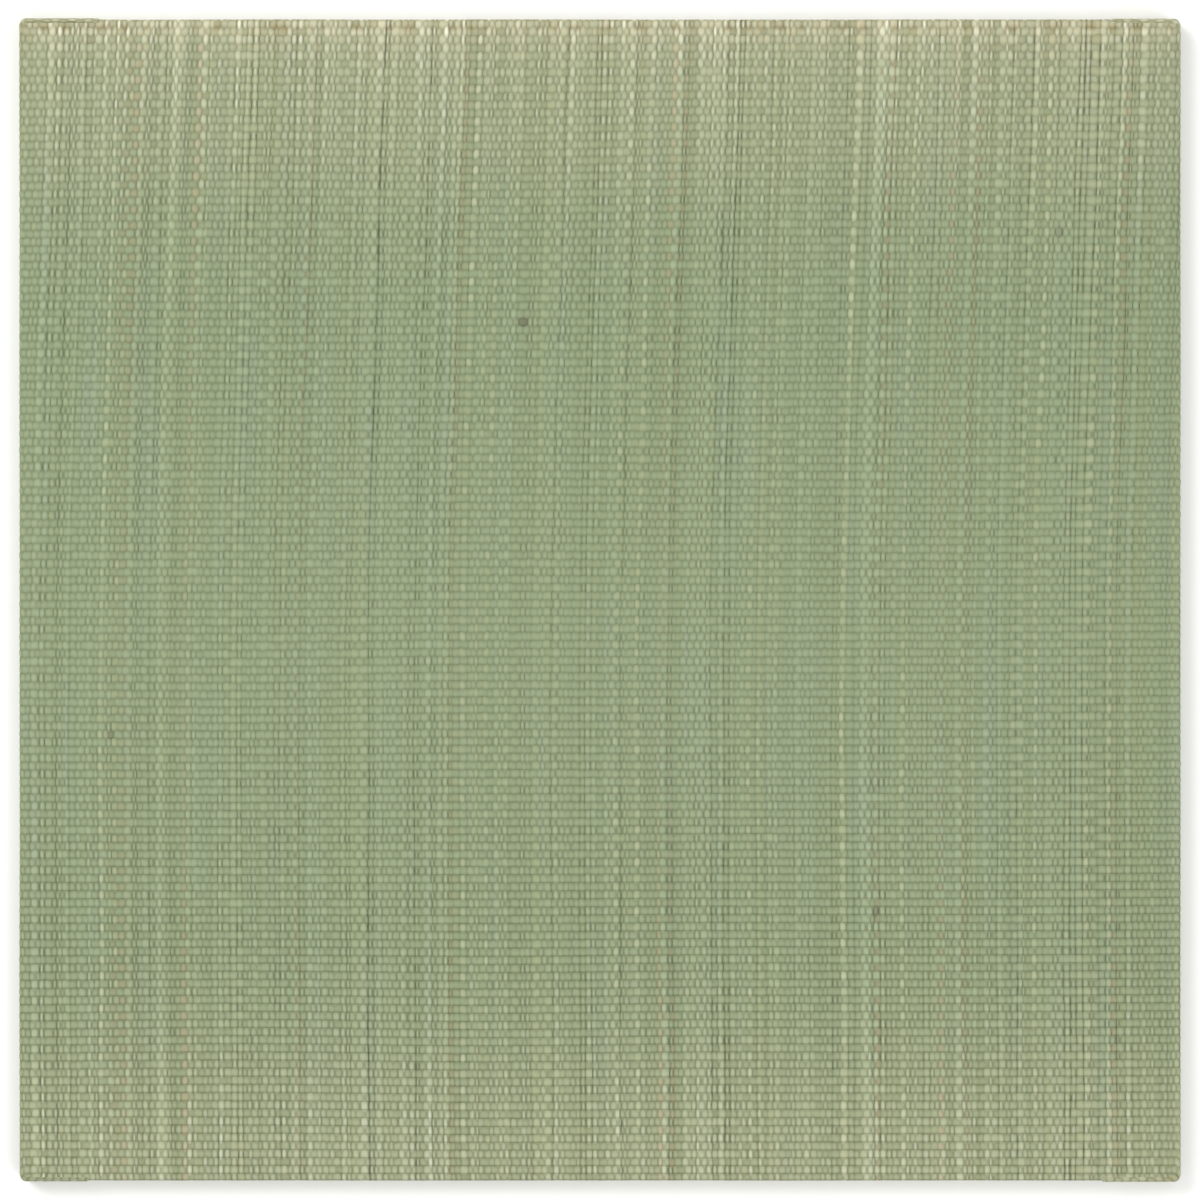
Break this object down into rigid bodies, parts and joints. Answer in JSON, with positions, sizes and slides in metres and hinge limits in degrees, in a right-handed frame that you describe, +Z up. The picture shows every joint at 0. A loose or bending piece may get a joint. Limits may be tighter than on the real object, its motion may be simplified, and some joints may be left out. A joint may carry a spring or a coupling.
{
  "type": "tatami mat",
  "caption": "Thin square borderless floor mat, a firm board wrapped in woven rush, with rounded edges and folded corners, to lie flat beside others.",
  "frame": {"origin": "centre of the flat underside", "axes": "+X to the right, along the binding threads; +Y to the back, along the rushes; +Z up, out of the woven face"},
  "size_m": [0.82, 0.8218, 0.017],
  "materials": {
    "woven_rush": "plain-woven sage green rush, satin, with fine streaks along the rushes and paler, tan ends"
  },
  "bodies": {
    "root": {"rush_mat": "woven_rush"}
  },
  "joints": []
}
